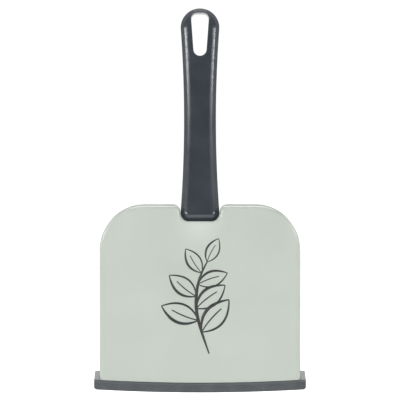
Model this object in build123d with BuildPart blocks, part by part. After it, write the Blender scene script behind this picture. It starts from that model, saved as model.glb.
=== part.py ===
from build123d import *
from math import asin, degrees, hypot, radians, sqrt, tan
import os

# A compact dustpan: a moulded pan, a soft lip on its front edge and a plug-in handle with a hanging slot.
# It hangs upright. +Z runs up along the handle, +X to the right, and the flat underside faces -Y, so the
# pan opens towards +Y. The origin is where a hook bears: under the top of the slot, in the middle of the
# handle's thickness. "Depth" below is the distance in +Y from the plane of the underside.

# Handle
handle_length = 215.2     # top of the loop to the end of the foot
handle_thick = 17.0
handle_lean = 5.0         # how far the grip's arc turns away from its chord at each end, in degrees
loop_radius = 19.6        # outside radius of the rounded loop end
loop_wall = 4.7           # left above the slot
waist_half = 16.1         # half the width at the waist
waist_drop = 110.0        # from the hook's seat down to the waist
foot_corner = 8.4
face_bevel = 5.2          # width of the bevel round the face, seen from the front
bevel_rise = 4.4          # depth of that bevel
bevel_soft = 7.0          # rounding where face and bevel meet
shell = 2.4               # wall of the open-backed grip
rib_thick = 1.8
rib_count = 5
rib_below_rim = 2.0

# Hanging slot
slot_top_width = 17.8
slot_foot_width = 13.3
slot_length = 43.7
slot_corner = 6.0         # the two corners of its flattened top
slot_soft = 0.8

# Plug-in joint
tongue_width = 26.0
tongue_thick = 8.0
tongue_length = 24.0
tongue_gap = 0.2          # clearance in the socket, on each side
tongue_core = 4.5         # depth of the two sink-saving pockets in the tongue
tongue_lead = 1.5         # lead-in bevel at its tip
hook_width = 8.0
hook_length = 6.0
hook_rise = 1.6
window_gap = 0.5          # clearance round the hook in its window
socket_wall = 2.0
socket_ramp = 12.0        # length of the slope that closes the socket

# Pan
pan_width = 199.4         # across the sides, at the underside
pan_length = 179.6        # back edge to the front edge of the floor, on the middle line
pan_height = 46.0         # depth of the back wall
front_height = 17.0       # depth of the side walls at the front
front_lean = 8.0          # how far the side walls' front edges lean back
back_flat = 26.0          # length of the rim's level stretch at the back
floor_thick = 2.2
wall = 2.0
flare = 1.0               # how far the walls lean out at the full height
corner_radius = 43.0
edge_radius = 3.0         # rounding between floor and walls, outside
inner_radius = 2.5        # rounding between floor and walls, inside
bead = 0.8                # how far the rim stands out
bead_thick = 2.5
front_bow = 2.8           # how far the front edge bows forward

# Niche for the handle's foot
niche_depth = 14.8        # back edge to the niche's end, at the underside
niche_gap = 0.4           # clearance beside the foot
shoulder_radius = 6.0

# Soft lip
lip_cover = 4.5           # how far it covers the floor's edge
lip_reach = 5.2           # how far it stands past the floor's edge
lip_under = 1.2           # how far it stands below the underside
lip_over = 1.8            # its thickness above the floor
lip_tip = 1.6             # thickness of its working edge
lip_bevel = 2.6           # width of the bevel next to the underside
lip_corner = 3.0
ear_front = 2.6           # rubber in front of the side wall's edge
ear_back = 5.2            # rubber behind that edge
ear_inside = 1.4          # rubber on the inner side of the wall
ear_outside = 5.5         # rubber outside it
ear_over = 1.4            # rubber above the wall's rim
ear_round = 2.4

# Places, worked out from the sizes above
depth_at_hook = 34.0      # depth of the origin: how high the grip rides over the floor
foot_depth = 3.0          # depth of the handle's face at the foot

handle_top = loop_wall
foot_z = handle_top - handle_length
loop_to_waist = waist_drop + handle_top - loop_radius
grip_radius = (waist_half**2 + loop_to_waist**2 - loop_radius**2) / (2 * (loop_radius - waist_half))
niche_z = foot_z
niche_radius = foot_corner
back_z = niche_z + niche_depth
front_z = back_z - pan_length
bow_radius = ((pan_width / 2) ** 2 + front_bow**2) / (2 * front_bow)
side_front_z = front_z + front_bow
past = 60.0               # how far cutting solids run past what they cut


def plane_at(depth):
    """A sketch plane parallel to the underside: X to the right, Z up."""
    return Plane.XZ.offset(depth_at_hook - depth)


def y_at(depth):
    return depth - depth_at_hook


def flare_at(depth):
    return flare * depth / pan_height


def grip_half(z):
    """Half the handle's width at a height below the loop."""
    return waist_half + grip_radius - sqrt(grip_radius**2 - (z + waist_drop) ** 2)


niche_half = grip_half(foot_z + foot_corner) + niche_gap
foot_y = y_at(foot_depth)
top_y = -handle_thick / 2
middle_z = (foot_z + handle_top) / 2
middle_y = (foot_y + top_y + hypot(handle_length, top_y - foot_y) * tan(radians(handle_lean / 2))) / 2


def pan_outline(grow, inset, front):
    """The pan's outline seen from the front: grow moves the outer walls out, inset moves all walls in."""
    half = pan_width / 2 + grow - inset
    back = back_z + grow - inset
    corner = corner_radius + grow - inset
    shoulder = shoulder_radius + grow - inset
    notch_half = niche_half + inset
    notch_end = niche_z - inset
    notch_corner = niche_radius + inset
    with BuildLine() as outline:
        right = Line((half, front), (half, back - corner))
        RadiusArc(right @ 1, (half - corner, back), -corner)
        top = Line((half - corner, back), (notch_half + shoulder, back))
        RadiusArc(top @ 1, (notch_half, back - shoulder), -shoulder)
        side = Line((notch_half, back - shoulder), (notch_half, notch_end + notch_corner))
        RadiusArc(side @ 1, (notch_half - notch_corner, notch_end), notch_corner)
        Line((notch_half - notch_corner, notch_end), (0, notch_end))
        mirror(about=Plane.YZ)
        ThreePointArc((-half, front), (0, front - front_bow), (half, front))
    return outline.line


def rim_side():
    """What is kept of the pan, seen from the side: under the rim and behind the leaning front edges."""
    with BuildLine() as side:
        Polyline(
            (y_at(-past), back_z + past),
            (y_at(pan_height), back_z + past),
            (y_at(pan_height), back_z - back_flat),
            (y_at(front_height), side_front_z + front_lean),
            (y_at(floor_thick), side_front_z),
            (y_at(floor_thick), front_z - past),
            (y_at(-past), front_z - past),
            close=True,
        )
    return side.line


def grip_side(low, high):
    """The handle seen from the side, between its face moved in by low and its face moved in by high."""
    with BuildLine() as side:
        ThreePointArc((foot_y + low, foot_z), (middle_y + low, middle_z), (top_y + low, handle_top))
        Line((top_y + low, handle_top), (top_y + high, handle_top))
        ThreePointArc((top_y + high, handle_top), (middle_y + high, middle_z), (foot_y + high, foot_z))
        Line((foot_y + high, foot_z), (foot_y + low, foot_z))
    return side.line


def show_face(grip, below):
    """The long arched face of the grip, or of its hollow that much below it."""
    return grip.faces().sort_by_distance((0, middle_y + below, middle_z))[0]


def handle_outline():
    """The handle seen from the front: a round loop and hollowed sides that run on to a square foot."""
    loop_z = handle_top - loop_radius
    reach = grip_radius + loop_radius
    touch = (
        loop_radius * (waist_half + grip_radius) / reach,
        loop_z - loop_radius * (waist_drop + loop_z) / reach,
    )
    with BuildLine() as outline:
        RadiusArc((0, handle_top), touch, loop_radius)
        side = RadiusArc(touch, (grip_half(foot_z), foot_z), -grip_radius)
        Line(side @ 1, (0, foot_z))
        mirror(about=Plane.YZ)
    return outline.line


def slot_outline():
    """The hanging slot: a flattened arch above, a half circle below."""
    top_half = slot_top_width / 2
    foot_radius = slot_foot_width / 2
    foot_centre = foot_radius - slot_length
    with BuildLine() as slot:
        Line((0, 0), (top_half - slot_corner, 0))
        RadiusArc((top_half - slot_corner, 0), (top_half, -slot_corner), slot_corner)
        Line((top_half, -slot_corner), (foot_radius, foot_centre))
        RadiusArc((foot_radius, foot_centre), (0, -slot_length), foot_radius)
        mirror(about=Plane.YZ)
    return slot.line


# The hollow of the pan, wider towards its open side and running out past the front
with BuildPart() as hollow:
    with BuildSketch(plane_at(floor_thick)):
        make_face(pan_outline(flare_at(floor_thick), wall, front_z - past))
    with BuildSketch(plane_at(pan_height + wall)):
        make_face(pan_outline(flare_at(pan_height + wall), wall, front_z - past))
    loft(ruled=True)
    fillet(hollow.edges().group_by(Axis.Y)[0], inner_radius)

# The bead along the rim, cut from a pan that is a little wider
with BuildPart() as rim_bead:
    with BuildSketch(plane_at(0)):
        make_face(pan_outline(bead, 0, side_front_z))
    with BuildSketch(plane_at(pan_height)):
        make_face(pan_outline(flare + bead, 0, side_front_z))
    loft(ruled=True)
    with BuildSketch(Plane.YZ):
        make_face(rim_side())
    extrude(amount=pan_width, both=True, mode=Mode.INTERSECT)
    with BuildSketch(Plane(origin=(0, -bead_thick, 0), x_dir=(0, 1, 0), z_dir=(1, 0, 0))):
        make_face(rim_side())
    extrude(amount=pan_width, both=True, mode=Mode.SUBTRACT)

# The pan: flared walls under a sloping rim, a bead, a hollow and the socket for the handle
tongue_low = foot_depth + (handle_thick - tongue_thick) / 2
tongue_high = tongue_low + tongue_thick
socket_top = tongue_high + tongue_gap + socket_wall
socket_half = tongue_width / 2 + tongue_gap + socket_wall
socket_end = niche_z - tongue_length - tongue_gap - socket_wall
hook_z = niche_z - tongue_length / 2
with BuildPart() as pan_body:
    with BuildSketch(plane_at(0)):
        make_face(pan_outline(0, 0, side_front_z))
    with BuildSketch(plane_at(pan_height)):
        make_face(pan_outline(flare, 0, side_front_z))
    loft(ruled=True)
    under_edges = pan_body.edges().group_by(Axis.Y)[0]
    fillet(under_edges.filter_by_position(Axis.Z, side_front_z + edge_radius, back_z), edge_radius)
    with BuildSketch(Plane.YZ):
        make_face(rim_side())
    extrude(amount=pan_width, both=True, mode=Mode.INTERSECT)
    add(rim_bead.part)
    add(hollow.part, mode=Mode.SUBTRACT)
    with BuildSketch(Plane.YZ):
        with BuildLine():
            Polyline(
                (y_at(floor_thick / 2), niche_z - wall / 2),
                (y_at(socket_top), niche_z - wall / 2),
                (y_at(socket_top), socket_end),
                (y_at(floor_thick / 2), socket_end - socket_ramp),
                close=True,
            )
        make_face()
    extrude(amount=socket_half, both=True)
    with BuildSketch(plane_at(tongue_low - tongue_gap)):
        with Locations((0, niche_z + wall)):
            Rectangle(
                tongue_width + 2 * tongue_gap,
                tongue_length + tongue_gap + wall,
                align=(Align.CENTER, Align.MAX),
            )
    extrude(amount=-(tongue_thick + 2 * tongue_gap), mode=Mode.SUBTRACT)
    with BuildSketch(plane_at(tongue_high)):
        with Locations((0, hook_z)):
            Rectangle(hook_width + 2 * window_gap, hook_length + 2 * window_gap)
    extrude(amount=-2 * socket_wall, mode=Mode.SUBTRACT)

# The open-backed inside of the grip, with the cross ribs and the wall of the slot left standing
with BuildPart() as ribs:
    with BuildSketch(Plane.YZ):
        make_face(grip_side(0, handle_thick - rib_below_rim))
    extrude(amount=loop_radius, both=True)
    rib_from = foot_z + shell
    rib_step = (-slot_length - shell - rib_from) / (rib_count + 1)
    with BuildSketch(Plane.XZ):
        for number in range(rib_count):
            with Locations((0, rib_from + rib_step * (number + 1))):
                Rectangle(2 * loop_radius, rib_thick)
    extrude(amount=past, both=True, mode=Mode.INTERSECT)

with BuildPart() as grip_hollow:
    with BuildSketch(plane_at(-past)) as front_view:
        make_face(handle_outline())
        fillet(front_view.vertices().group_by(Axis.Y)[0], foot_corner)
        offset(amount=-shell, mode=Mode.REPLACE)
    extrude(amount=-3 * past)
    with BuildSketch(Plane.YZ):
        make_face(grip_side(shell, past))
    extrude(amount=loop_radius, both=True, mode=Mode.INTERSECT)
    face = show_face(grip_hollow, shell)
    inner = 1 - shell * (1 / face_bevel + 1 / bevel_rise - hypot(1 / face_bevel, 1 / bevel_rise))
    chamfer(face.edges(), inner * face_bevel, inner * bevel_rise, reference=face)
    with BuildSketch(plane_at(-past)):
        make_face(slot_outline())
        offset(amount=shell, mode=Mode.REPLACE)
        with Locations((0, handle_top)):
            Rectangle(2 * loop_radius, 2 * slot_corner)
    extrude(amount=-3 * past, mode=Mode.SUBTRACT)
    add(ribs.part, mode=Mode.SUBTRACT)

# The handle
with BuildPart() as handle:
    with BuildSketch(plane_at(-past)) as front_view:
        make_face(handle_outline())
        fillet(front_view.vertices().group_by(Axis.Y)[0], foot_corner)
    extrude(amount=-3 * past)
    with BuildSketch(Plane.YZ):
        make_face(grip_side(0, handle_thick))
    extrude(amount=loop_radius, both=True, mode=Mode.INTERSECT)
    face = show_face(handle, 0)
    chamfer(face.edges(), face_bevel, bevel_rise, reference=face)
    fillet(show_face(handle, 0).edges(), bevel_soft)
    with BuildSketch(plane_at(-past)):
        make_face(slot_outline())
    extrude(amount=-3 * past, mode=Mode.SUBTRACT)
    slot_edges = handle.edges(Select.LAST)
    fillet(slot_edges.filter_by_position(Axis.Y, -handle_thick, -handle_thick / 4), slot_soft)
    add(grip_hollow.part, mode=Mode.SUBTRACT)
    with BuildSketch(plane_at(tongue_low)):
        with Locations((0, foot_z + shell / 2)):
            Rectangle(tongue_width, tongue_length + shell / 2, align=(Align.CENTER, Align.MAX))
    extrude(amount=-tongue_thick)
    tip_edges = handle.edges().filter_by(Axis.X).group_by(Axis.Z)[0]
    chamfer(tip_edges, tongue_lead)
    pocket_width = (tongue_width - hook_width) / 2 - 2 * wall
    with BuildSketch(plane_at(tongue_high - tongue_core)):
        with Locations((0, hook_z)):
            with GridLocations(hook_width + pocket_width + 2 * wall, 1, 2, 1):
                Rectangle(pocket_width, tongue_length - 3 * wall)
    extrude(amount=-2 * tongue_core, mode=Mode.SUBTRACT)
    with BuildSketch(Plane.YZ):
        with BuildLine():
            Polyline(
                (y_at(tongue_high - hook_rise), hook_z - hook_length / 2),
                (y_at(tongue_high), hook_z - hook_length / 2),
                (y_at(tongue_high + hook_rise), hook_z + hook_length / 4),
                (y_at(tongue_high + hook_rise), hook_z + hook_length / 2),
                (y_at(tongue_high - hook_rise), hook_z + hook_length / 2),
                close=True,
            )
        make_face()
    extrude(amount=hook_width / 2, both=True)

# The ears: a band along each side wall's leaning front edge, rounded at its top
ear_top = side_front_z + front_lean + ear_back
ear_width = ear_inside + wall + ear_outside
lip_width = pan_width + 2 * ear_outside
with BuildPart() as ears:
    with BuildSketch(Plane.YZ) as ear_side:
        with BuildLine():
            Polyline(
                (y_at(0), side_front_z + lip_cover),
                (y_at(front_height + ear_over), ear_top),
                (y_at(front_height + ear_over), ear_top - ear_back - ear_front),
                (y_at(floor_thick), side_front_z - ear_front),
                (y_at(-lip_under), side_front_z - ear_front),
                (y_at(-lip_under), side_front_z + lip_cover - lip_bevel),
                close=True,
            )
        make_face()
        fillet(ear_side.vertices().group_by(Axis.Y)[-1], ear_round)
    extrude(amount=lip_width, both=True)
    with BuildSketch(plane_at(-past)):
        with GridLocations(lip_width - ear_width, 1, 2, 1):
            with Locations((0, ear_top)):
                RectangleRounded(ear_width, past, ear_round, align=(Align.CENTER, Align.MAX))
    extrude(amount=-3 * past, mode=Mode.INTERSECT)

# The soft lip: a bowed strip that wraps the floor's edge, with the ears grown onto its ends
lip_back = front_z + lip_cover
lip_front = front_z - lip_reach
lip_radius = bow_radius + lip_reach
lip_end_z = lip_front + lip_radius - sqrt(lip_radius**2 - (lip_width / 2) ** 2)
with BuildPart() as front_lip:
    with BuildSketch(Plane.YZ):
        with BuildLine():
            Polyline(
                (y_at(0), lip_back),
                (y_at(-lip_under), lip_back - lip_bevel),
                (y_at(-lip_under), lip_front),
                (y_at(lip_tip - lip_under), lip_front),
                (y_at(floor_thick + lip_over), front_z),
                (y_at(floor_thick + lip_over), lip_back),
                close=True,
            )
        make_face()
    bow_axis = Axis((0, 0, front_z + bow_radius), (0, 1, 0))
    revolve(axis=bow_axis, revolution_arc=2 * degrees(asin(lip_width / 2 / bow_radius)))
    mirror(about=Plane.YZ)
    with BuildSketch(plane_at(-past)) as lip_view:
        with BuildLine():
            Polyline(
                (-lip_width / 2, lip_end_z),
                (-lip_width / 2, ear_top),
                (lip_width / 2, ear_top),
                (lip_width / 2, lip_end_z),
            )
            ThreePointArc((-lip_width / 2, lip_end_z), (0, lip_front), (lip_width / 2, lip_end_z))
        make_face()
        fillet(lip_view.vertices().group_by(Axis.Z)[0], lip_corner)
    extrude(amount=-3 * past, mode=Mode.INTERSECT)
    add(ears.part)
    add(pan_body.part, mode=Mode.SUBTRACT)

pieces = {"pan_body": pan_body, "front_lip": front_lip, "handle": handle}
os.makedirs("parts", exist_ok=True)
for name, piece in pieces.items():
    piece.part.label = name
    export_step(piece.part, f"parts/{name}.step")
    print(name, len(piece.part.solids()), round(piece.part.volume), piece.part.bounding_box())
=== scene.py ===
import math

import bpy
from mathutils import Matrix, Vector


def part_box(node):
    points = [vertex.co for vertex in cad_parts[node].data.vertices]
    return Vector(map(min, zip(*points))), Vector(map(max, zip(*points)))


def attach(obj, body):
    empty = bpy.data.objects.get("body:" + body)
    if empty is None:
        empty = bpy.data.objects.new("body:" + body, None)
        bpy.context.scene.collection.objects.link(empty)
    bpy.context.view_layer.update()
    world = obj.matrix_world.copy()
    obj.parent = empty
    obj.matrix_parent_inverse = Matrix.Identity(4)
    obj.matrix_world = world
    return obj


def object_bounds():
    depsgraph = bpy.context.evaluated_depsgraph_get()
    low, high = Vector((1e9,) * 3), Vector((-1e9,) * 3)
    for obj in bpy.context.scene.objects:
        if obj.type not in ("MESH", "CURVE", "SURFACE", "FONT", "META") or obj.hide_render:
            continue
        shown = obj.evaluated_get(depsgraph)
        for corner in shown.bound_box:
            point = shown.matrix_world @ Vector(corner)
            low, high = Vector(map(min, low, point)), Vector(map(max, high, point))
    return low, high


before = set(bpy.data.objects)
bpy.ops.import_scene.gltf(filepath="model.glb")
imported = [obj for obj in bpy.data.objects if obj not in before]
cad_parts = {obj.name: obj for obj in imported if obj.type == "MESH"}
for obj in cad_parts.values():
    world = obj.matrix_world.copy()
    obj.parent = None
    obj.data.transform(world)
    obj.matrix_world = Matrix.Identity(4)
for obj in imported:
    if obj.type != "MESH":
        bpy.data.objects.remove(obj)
cadLow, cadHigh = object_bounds()
mm = 0.001


def linearColour(code):
    # "#rrggbb" in sRGB to the linear values that sockets take
    values = [int(code[i : i + 2], 16) / 255 for i in (1, 3, 5)]
    return [v / 12.92 if v <= 0.04045 else ((v + 0.055) / 1.055) ** 2.4 for v in values] + [1.0]


def addNode(tree, kind, settings=None, links=None):
    # settings take a property's name or a socket's name or number; links join a socket to an output
    node = tree.nodes.new(kind)
    for name, value in (settings or {}).items():
        if isinstance(name, str) and name in node.bl_rna.properties:
            setattr(node, name, value)
        else:
            node.inputs[name].default_value = value
    for name, output in (links or {}).items():
        tree.links.new(output, node.inputs[name])
    return node


def newMaterial(name):
    material = bpy.data.materials.new(name)
    material.use_nodes = True
    material.node_tree.nodes.clear()
    return material, material.node_tree


def finishSkin(tree, size, place, cloud, colour):
    # a moulding's skin: the clouds vary its gloss, and its ripples lie on rounded edges
    rough = addNode(
        tree,
        "ShaderNodeMapRange",
        {
            "To Min": size["roughness"] - size["roughnessSwing"],
            "To Max": size["roughness"] + size["roughnessSwing"],
        },
        {"Value": cloud.outputs["Fac"]},
    )
    peel = addNode(
        tree,
        "ShaderNodeTexNoise",
        {"Scale": 1 / (size["peelSize"] * mm), "Detail": size["peelDetail"]},
        {"Vector": place},
    )
    soft = addNode(
        tree,
        "ShaderNodeBevel",
        {"samples": size["edgeRays"], "Radius": size["edgeRound"] * mm},
    )
    bump = addNode(
        tree,
        "ShaderNodeBump",
        {"Strength": size["peelStrength"], "Distance": size["peelHeight"] * mm},
        {"Height": peel.outputs["Fac"], "Normal": soft.outputs["Normal"]},
    )
    shader = addNode(
        tree,
        "ShaderNodeBsdfPrincipled",
        {"IOR": size["ior"]},
        {
            "Base Color": colour,
            "Roughness": rough.outputs[0],
            "Normal": bump.outputs["Normal"],
        },
    )
    addNode(tree, "ShaderNodeOutputMaterial", {}, {"Surface": shader.outputs[0]})


# Pan: polypropylene shot into a polished mould. Glossy, with faint clouds in the pigment, fine
# specks, a rippled skin, and a paler patch below the handle socket that is painted light, standing
# in for a gently sloped area catching light from above.
panPlastic = {
    "shade": "#9fa59e",
    "light": "#a3a9a2",
    # painted light: the paler colour of the patch below the handle socket
    "paintedLight": "#b1b8b3",
    "ior": 1.49,
    "roughness": 0.22,
    "roughnessSwing": 0.05,
    "cloudSize": 55.0,  # mm across one cloud
    "cloudRange": (0.4, 0.85),  # noise values that give the shade and the light tone
    "speckSize": 1.1,  # mm; the real ones are finer, and these are drawn so that they show
    "speckShare": 0.25,
    "peelSize": 2.4,  # mm between ripples
    "peelDetail": 1.0,
    "peelHeight": 0.004,  # mm
    "peelStrength": 0.6,
    "edgeRound": 0.45,  # mm
    "edgeRays": 4,
    "paintedLightCentre": (0, -34, -212),  # mm, centre of the painted light below the handle socket
    "paintedLightReach": 30.0,  # mm
    "paintedLightShare": 0.7,
}


def makePanPlastic():
    size = panPlastic
    material, tree = newMaterial("mouldedPolypropylene")
    place = addNode(tree, "ShaderNodeTexCoord").outputs["Object"]

    # pigment: broad clouds with specks on them; then painted light, a paler patch round a point
    # below the handle socket
    cloud = addNode(
        tree,
        "ShaderNodeTexNoise",
        {"Scale": 1 / (size["cloudSize"] * mm), "Detail": 2.0},
        {"Vector": place},
    )
    speck = addNode(
        tree,
        "ShaderNodeTexNoise",
        {"Scale": 1 / (size["speckSize"] * mm), "Detail": 1.0},
        {"Vector": place},
    )
    both = addNode(
        tree,
        "ShaderNodeMath",
        {"operation": "MULTIPLY_ADD", 1: size["speckShare"]},
        {0: speck.outputs["Fac"], 2: cloud.outputs["Fac"]},
    )
    darkest, lightest = size["cloudRange"]
    tone = addNode(
        tree,
        "ShaderNodeMapRange",
        {"From Min": darkest, "From Max": lightest},
        {"Value": both.outputs[0]},
    )
    body = addNode(
        tree,
        "ShaderNodeMix",
        {"data_type": "RGBA", 6: linearColour(size["shade"]), 7: linearColour(size["light"])},
        {0: tone.outputs[0]},
    )
    # painted light: the paler colour fades in towards that point, standing in for light caught
    # below the handle socket
    paintedLightCentre = [v * mm for v in size["paintedLightCentre"]]
    fromPaintedLight = addNode(
        tree, "ShaderNodeVectorMath", {"operation": "DISTANCE", 1: paintedLightCentre}, {0: place}
    )
    near = addNode(
        tree,
        "ShaderNodeMapRange",
        {
            "interpolation_type": "SMOOTHSTEP",
            "From Min": 0.0,
            "From Max": size["paintedLightReach"] * mm,
            "To Min": size["paintedLightShare"],
            "To Max": 0.0,
        },
        {"Value": fromPaintedLight.outputs["Value"]},
    )
    withPaintedLight = addNode(
        tree,
        "ShaderNodeMix",
        {"data_type": "RGBA", 7: linearColour(size["paintedLight"])},
        {0: near.outputs[0], 6: body.outputs[2]},
    )
    finishSkin(tree, size, place, cloud, withPaintedLight.outputs[2])
    return material


# Handle: anthracite polypropylene from a polished mould, so it is glossy, with a faint cloud in its
# depth of colour.
handlePlastic = {
    "shade": "#2c3137",
    "light": "#33383e",
    "ior": 1.53,
    "roughness": 0.16,
    "roughnessSwing": 0.03,
    "cloudSize": 30.0,  # mm
    "cloudRange": (0.35, 0.65),
    "peelSize": 1.8,  # mm
    "peelDetail": 2.0,
    "peelHeight": 0.004,  # mm
    "peelStrength": 0.6,
    "edgeRound": 0.5,  # mm
    "edgeRays": 4,
}

# Lip: thermoplastic rubber from a finely grained mould, so its shine is broken up.
lipRubber = {
    "shade": "#323639",
    "light": "#3b4044",
    "ior": 1.5,
    "roughness": 0.24,
    "roughnessSwing": 0.05,
    "cloudSize": 18.0,  # mm
    "cloudRange": (0.35, 0.65),
    "peelSize": 0.8,  # mm; the grain of the mould, drawn coarser than it is
    "peelDetail": 2.0,
    "peelHeight": 0.012,  # mm
    "peelStrength": 0.6,
    "edgeRound": 0.6,  # mm
    "edgeRays": 4,
}


def makeDarkMoulding(name, size):
    material, tree = newMaterial(name)
    place = addNode(tree, "ShaderNodeTexCoord").outputs["Object"]
    cloud = addNode(
        tree,
        "ShaderNodeTexNoise",
        {"Scale": 1 / (size["cloudSize"] * mm), "Detail": 3.0},
        {"Vector": place},
    )
    darkest, lightest = size["cloudRange"]
    tone = addNode(
        tree,
        "ShaderNodeMapRange",
        {"From Min": darkest, "From Max": lightest},
        {"Value": cloud.outputs["Fac"]},
    )
    body = addNode(
        tree,
        "ShaderNodeMix",
        {"data_type": "RGBA", 6: linearColour(size["shade"]), 7: linearColour(size["light"])},
        {0: tone.outputs[0]},
    )
    finishSkin(tree, size, place, cloud, body.outputs[2])
    return material


# Print: black pad-printing ink, a thin satin film with an uneven cover.
inkFilm = {
    "thin": "#24272a",
    "full": "#141614",
    "ior": 1.5,
    "roughness": 0.38,
    "patchSize": 3.0,  # mm
    "patchRange": (0.3, 0.6),
}


def makeInk():
    size = inkFilm
    material, tree = newMaterial("padPrintInk")
    place = addNode(tree, "ShaderNodeTexCoord").outputs["Object"]
    patch = addNode(
        tree,
        "ShaderNodeTexNoise",
        {"Scale": 1 / (size["patchSize"] * mm), "Detail": 2.0},
        {"Vector": place},
    )
    barest, fullest = size["patchRange"]
    tone = addNode(
        tree,
        "ShaderNodeMapRange",
        {"From Min": barest, "From Max": fullest},
        {"Value": patch.outputs["Fac"]},
    )
    body = addNode(
        tree,
        "ShaderNodeMix",
        {"data_type": "RGBA", 6: linearColour(size["thin"]), 7: linearColour(size["full"])},
        {0: tone.outputs[0]},
    )
    shader = addNode(
        tree,
        "ShaderNodeBsdfPrincipled",
        {"IOR": size["ior"], "Roughness": size["roughness"]},
        {"Base Color": body.outputs[2]},
    )
    addNode(tree, "ShaderNodeOutputMaterial", {}, {"Surface": shader.outputs[0]})
    return material


finishes = {
    "pan_body": makePanPlastic(),
    "handle": makeDarkMoulding("anthracitePolypropylene", handlePlastic),
    "front_lip": makeDarkMoulding("thermoplasticRubber", lipRubber),
}
for node, material in finishes.items():
    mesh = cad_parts[node].data
    mesh.materials.clear()
    mesh.materials.append(material)
print("mouldings finished")

# A printed leaf sprig on the underside: a bowed stem with outlined leaves on alternate sides
sprig = {
    "stem": [  # mm, across and up, from foot to tip
        (9, -342),
        (4.5, -329),
        (0, -315),
        (-3.2, -301),
        (-3.8, -287),
        (-2, -273),
        (2, -261),
        (7, -251),
    ],
    "stemSteps": 90,
    "leafCount": 7,
    "leafLength": 42.0,  # mm
    "leafWidth": 20.0,  # mm
    "leafSteps": 28,
    "belly": 0.45,  # share of its length where a leaf is widest
    "spread": 56.0,  # degrees between stem and leaf
    "firstLeaf": 0.24,  # share of the stem's length
    "tipScale": 0.62,
    "tipFrom": 0.999,  # share of the leafy stretch past which a leaf follows the stem
    "lineWidth": 2.4,  # mm
    "inkDepth": 0.16,  # mm, half of it stands out of the surface
    "stemSwell": (0.55, 1.35),  # line width at the ends and in the middle, as a share
    "leafLines": [  # which side and how bowed, share of the length, swell
        (1, 1.0, (0.5, 1.35)),
        (-1, 1.0, (0.5, 0.95)),
        (0.12, 0.72, (0.5, 0.6)),  # the vein
    ],
}


def thinThickLine(tree, curve, width, depth, swelling):
    # turns a curve into a flat stroke that swells towards its middle
    thin, thick = swelling
    along = addNode(tree, "GeometryNodeSplineParameter")
    wave = addNode(
        tree,
        "ShaderNodeMath",
        {"operation": "MULTIPLY", 1: math.pi},
        {0: along.outputs["Factor"]},
    )
    swell = addNode(tree, "ShaderNodeMath", {"operation": "SINE"}, {0: wave.outputs[0]})
    radius = addNode(
        tree,
        "ShaderNodeMapRange",
        {"To Min": thin, "To Max": thick},
        {"Value": swell.outputs[0]},
    )
    nib = addNode(
        tree,
        "GeometryNodeCurvePrimitiveQuadrilateral",
        {},
        {"Width": width, "Height": depth},
    )
    stroke = addNode(
        tree,
        "GeometryNodeCurveToMesh",
        {"Fill Caps": True},
        {"Curve": curve, "Profile Curve": nib.outputs[0], "Scale": radius.outputs[0]},
    )
    return stroke.outputs[0]


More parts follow.
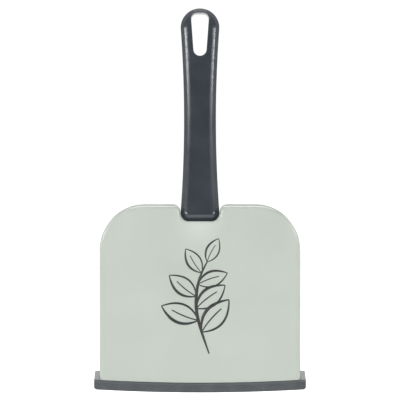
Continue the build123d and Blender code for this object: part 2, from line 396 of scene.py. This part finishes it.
def makeSprigTree(ink):
    tree = bpy.data.node_groups.new("leafSprig", "GeometryNodeTree")
    inputs = {
        "Stem": "NodeSocketGeometry",
        "Leaf count": "NodeSocketInt",
        "Leaf length": "NodeSocketFloat",
        "Leaf width": "NodeSocketFloat",
        "Spread": "NodeSocketFloat",
        "First leaf": "NodeSocketFloat",
        "Tip scale": "NodeSocketFloat",
        "Line width": "NodeSocketFloat",
        "Ink depth": "NodeSocketFloat",
        "Height": "NodeSocketFloat",
    }
    for name, kind in inputs.items():
        tree.interface.new_socket(name=name, in_out="INPUT", socket_type=kind)
    tree.interface.new_socket(name="Print", in_out="OUTPUT", socket_type="NodeSocketGeometry")
    given = addNode(tree, "NodeGroupInput").outputs
    pen = given["Line width"], given["Ink depth"]

    stem = addNode(tree, "GeometryNodeMeshToCurve", {}, {"Mesh": given["Stem"]})
    smooth = addNode(
        tree,
        "GeometryNodeCurveSplineType",
        {"spline_type": "CATMULL_ROM"},
        {"Curve": stem.outputs[0]},
    )
    fine = addNode(
        tree,
        "GeometryNodeResampleCurve",
        {"Count": sprig["stemSteps"]},
        {"Curve": smooth.outputs[0]},
    )
    stemStroke = thinThickLine(tree, fine.outputs[0], *pen, sprig["stemSwell"])

    # one leaf, lying along +X: two edges and a vein
    leaf = addNode(tree, "GeometryNodeJoinGeometry")
    for bow, share, swelling in sprig["leafLines"]:
        reach = addNode(
            tree,
            "ShaderNodeMath",
            {"operation": "MULTIPLY", 1: share},
            {0: given["Leaf length"]},
        )
        belly = addNode(
            tree,
            "ShaderNodeMath",
            {"operation": "MULTIPLY", 1: sprig["belly"] * share},
            {0: given["Leaf length"]},
        )
        out = addNode(
            tree,
            "ShaderNodeMath",
            {"operation": "MULTIPLY", 1: bow},
            {0: given["Leaf width"]},
        )
        middle = addNode(
            tree, "ShaderNodeCombineXYZ", {}, {"X": belly.outputs[0], "Y": out.outputs[0]}
        )
        end = addNode(tree, "ShaderNodeCombineXYZ", {}, {"X": reach.outputs[0]})
        edge = addNode(
            tree,
            "GeometryNodeCurveQuadraticBezier",
            {"Resolution": sprig["leafSteps"], "Start": (0, 0, 0)},
            {"Middle": middle.outputs[0], "End": end.outputs[0]},
        )
        tree.links.new(thinThickLine(tree, edge.outputs[0], *pen, swelling), leaf.inputs[0])

    # leaves along the stem, turned to alternate sides and smaller towards the tip
    upper = addNode(
        tree,
        "GeometryNodeTrimCurve",
        {"mode": "FACTOR"},
        {"Curve": fine.outputs[0], "Start": given["First leaf"]},
    )
    spots = addNode(
        tree,
        "GeometryNodeResampleCurve",
        {},
        {"Curve": upper.outputs[0], "Count": given["Leaf count"]},
    )
    tangent = addNode(tree, "GeometryNodeInputTangent")
    slope = addNode(tree, "ShaderNodeSeparateXYZ", {}, {0: tangent.outputs[0]})
    heading = addNode(
        tree,
        "ShaderNodeMath",
        {"operation": "ARCTAN2"},
        {0: slope.outputs["Y"], 1: slope.outputs["X"]},
    )
    order = addNode(tree, "GeometryNodeInputIndex").outputs[0]
    odd = addNode(tree, "ShaderNodeMath", {"operation": "MODULO", 1: 2.0}, {0: order})
    side = addNode(
        tree, "ShaderNodeMapRange", {"To Min": -1.0, "To Max": 1.0}, {"Value": odd.outputs[0]}
    )
    along = addNode(tree, "GeometryNodeSplineParameter").outputs["Factor"]
    beforeTip = addNode(
        tree,
        "ShaderNodeMath",
        {"operation": "LESS_THAN", 1: sprig["tipFrom"]},
        {0: along},
    )
    turned = addNode(
        tree,
        "ShaderNodeMath",
        {"operation": "MULTIPLY"},
        {0: side.outputs[0], 1: beforeTip.outputs[0]},
    )
    turn = addNode(
        tree,
        "ShaderNodeMath",
        {"operation": "MULTIPLY_ADD"},
        {0: turned.outputs[0], 1: given["Spread"], 2: heading.outputs[0]},
    )
    rotation = addNode(tree, "ShaderNodeCombineXYZ", {}, {"Z": turn.outputs[0]})
    scale = addNode(
        tree,
        "ShaderNodeMapRange",
        {"To Min": 1.0},
        {"Value": along, "To Max": given["Tip scale"]},
    )
    leaves = addNode(
        tree,
        "GeometryNodeInstanceOnPoints",
        {},
        {
            "Points": spots.outputs[0],
            "Instance": leaf.outputs[0],
            "Rotation": rotation.outputs[0],
            "Scale": scale.outputs[0],
        },
    )

    # stand the drawing up against the underside
    drawing = addNode(tree, "GeometryNodeJoinGeometry")
    tree.links.new(stemStroke, drawing.inputs[0])
    tree.links.new(leaves.outputs[0], drawing.inputs[0])
    lift = addNode(tree, "ShaderNodeCombineXYZ", {}, {"Y": given["Height"]})
    upright = addNode(
        tree,
        "GeometryNodeTransform",
        {"Rotation": (math.pi / 2, 0, 0)},
        {"Geometry": drawing.outputs[0], "Translation": lift.outputs[0]},
    )
    real = addNode(tree, "GeometryNodeRealizeInstances", {}, {0: upright.outputs[0]})
    coloured = addNode(tree, "GeometryNodeSetMaterial", {"Material": ink}, {0: real.outputs[0]})
    addNode(tree, "NodeGroupOutput", {}, {"Print": coloured.outputs[0]})
    return tree


def grow(tree, base, values):
    # runs a node tree on a small mesh and returns the result as a plain mesh
    holder = bpy.data.objects.new("holder", base)
    bpy.context.scene.collection.objects.link(holder)
    modifier = holder.modifiers.new("grow", "NODES")
    modifier.node_group = tree
    for item in tree.interface.items_tree:
        if item.in_out == "INPUT" and item.name in values:
            modifier[item.identifier] = values[item.name]
    depsgraph = bpy.context.evaluated_depsgraph_get()
    made = bpy.data.meshes.new_from_object(holder.evaluated_get(depsgraph))
    holder.modifiers.remove(modifier)
    bpy.data.objects.remove(holder)
    return made


def makeSprig():
    size = sprig
    stem = bpy.data.meshes.new("stem")
    points = [(x * mm, z * mm, 0) for x, z in size["stem"]]
    stem.from_pydata(points, [(i, i + 1) for i in range(len(points) - 1)], [])
    values = {
        "Leaf count": size["leafCount"],
        "Leaf length": size["leafLength"] * mm,
        "Leaf width": size["leafWidth"] * mm,
        "Spread": math.radians(size["spread"]),
        "First leaf": size["firstLeaf"],
        "Tip scale": size["tipScale"],
        "Line width": size["lineWidth"] * mm,
        "Ink depth": size["inkDepth"] * mm,
        "Height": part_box("pan_body")[0].y,
    }
    made = grow(makeSprigTree(makeInk()), stem, values)
    made.name = "printedSprig"
    piece = bpy.data.objects.new("printedSprig", made)
    bpy.context.scene.collection.objects.link(piece)
    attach(piece, "root")
    return piece


printed = makeSprig()
print("print drawn:", len(printed.data.polygons), "faces")

# Stage: a pale floor, a pale surround brighter behind the object, and the camera
stage = {
    "floorDrop": 0.08,  # metres from the lip down to the floor
    "floorSize": 40.0,  # metres
    "floorColour": "#fafaf8",
    "floorRoughness": 0.9,
    "floorGlow": 0.25,
    "aheadStrength": 1.05,  # surround behind the object
    "behindStrength": 0.08,  # surround behind the camera
    "turnRange": (-0.6, 0.15),  # where it changes, as the direction's Y
    "aboveStrength": 0.2,  # added overhead
    "aboveRange": (0.25, 0.8),  # where that starts and is full, as the direction's Z
    "camera": (0.0, -1.534, -0.1894),  # metres
    "across": 0.3972,  # metres the view spans at the underside
    "sensor": 36.0,  # mm
}

# A strip at each side draws the lines down the handle. The high ones in front, overhead and at the
# back light the lip's bevel, the loop and the ears. Places and sizes are metres, powers watts.
softboxes = {
    "softboxRight": {"at": (1.05, -1.1, 0.115), "size": (1.3, 0.1), "power": 10.0},
    "softboxLeft": {"at": (-1.05, -1.1, 0.115), "size": (1.3, 0.1), "power": 12.0},
    "softboxFront": {"at": (0.0, -1.4, 0.82), "size": (1.2, 0.16), "power": 3.4},
    "softboxAbove": {"at": (0.0, -0.1, 1.3), "size": (0.9, 0.9), "power": 2.5},
    "softboxBack": {"at": (0.0, 0.82, 0.88), "size": (1.2, 0.6), "power": 7.4},
}
softboxAim = (0, -0.02, -0.185)


def makeFloor():
    size = stage
    half = size["floorSize"] / 2
    level = cadLow.z - size["floorDrop"]
    corners = [(x * half, y * half, level) for x, y in ((-1, -1), (1, -1), (1, 1), (-1, 1))]
    floorMesh = bpy.data.meshes.new("floor")
    floorMesh.from_pydata(corners, [], [(0, 1, 2, 3)])
    floor = bpy.data.objects.new("floor", floorMesh)
    bpy.context.scene.collection.objects.link(floor)
    material, tree = newMaterial("paleFloor")
    shader = addNode(
        tree,
        "ShaderNodeBsdfPrincipled",
        {
            "Base Color": linearColour(size["floorColour"]),
            "Roughness": size["floorRoughness"],
            "Emission Color": (1, 1, 1, 1),
            "Emission Strength": size["floorGlow"],
        },
    )
    addNode(tree, "ShaderNodeOutputMaterial", {}, {"Surface": shader.outputs[0]})
    floorMesh.materials.append(material)


def makeSurround():
    size = stage
    world = bpy.data.worlds.new("surround")
    world.use_nodes = True
    bpy.context.scene.world = world
    tree = world.node_tree
    tree.nodes.clear()
    direction = addNode(tree, "ShaderNodeTexCoord").outputs["Generated"]
    axes = addNode(tree, "ShaderNodeSeparateXYZ", {}, {0: direction})
    ahead = addNode(
        tree,
        "ShaderNodeMapRange",
        {
            "interpolation_type": "SMOOTHSTEP",
            "From Min": size["turnRange"][0],
            "From Max": size["turnRange"][1],
            "To Min": size["behindStrength"],
            "To Max": size["aheadStrength"],
        },
        {"Value": axes.outputs["Y"]},
    )
    above = addNode(
        tree,
        "ShaderNodeMapRange",
        {
            "interpolation_type": "SMOOTHSTEP",
            "From Min": size["aboveRange"][0],
            "From Max": size["aboveRange"][1],
            "To Min": 0.0,
            "To Max": size["aboveStrength"],
        },
        {"Value": axes.outputs["Z"]},
    )
    total = addNode(
        tree,
        "ShaderNodeMath",
        {"operation": "ADD"},
        {0: ahead.outputs[0], 1: above.outputs[0]},
    )
    light = addNode(
        tree,
        "ShaderNodeBackground",
        {"Color": (1, 1, 1, 1)},
        {"Strength": total.outputs[0]},
    )
    addNode(tree, "ShaderNodeOutputWorld", {}, {"Surface": light.outputs[0]})


def makeSoftboxes():
    for name, box in softboxes.items():
        lamp = bpy.data.lights.new(name, "AREA")
        lamp.shape = "RECTANGLE"
        lamp.size, lamp.size_y = box["size"]
        lamp.energy = box["power"]
        holder = bpy.data.objects.new(name, lamp)
        holder.location = box["at"]
        towards = Vector(softboxAim) - holder.location
        holder.rotation_euler = towards.to_track_quat("-Z", "Y").to_euler()
        bpy.context.scene.collection.objects.link(holder)


def makeCamera():
    size = stage
    lens = bpy.data.cameras.new("camera")
    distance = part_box("pan_body")[0].y - size["camera"][1]
    lens.sensor_width = size["sensor"]
    lens.lens = size["sensor"] * distance / size["across"]
    eye = bpy.data.objects.new("camera", lens)
    eye.location = size["camera"]
    eye.rotation_euler = (math.pi / 2, 0, 0)
    bpy.context.scene.collection.objects.link(eye)
    bpy.context.scene.camera = eye
    bpy.context.scene.view_settings.view_transform = "Standard"


makeFloor()
makeSurround()
makeSoftboxes()
makeCamera()
print("stage set")
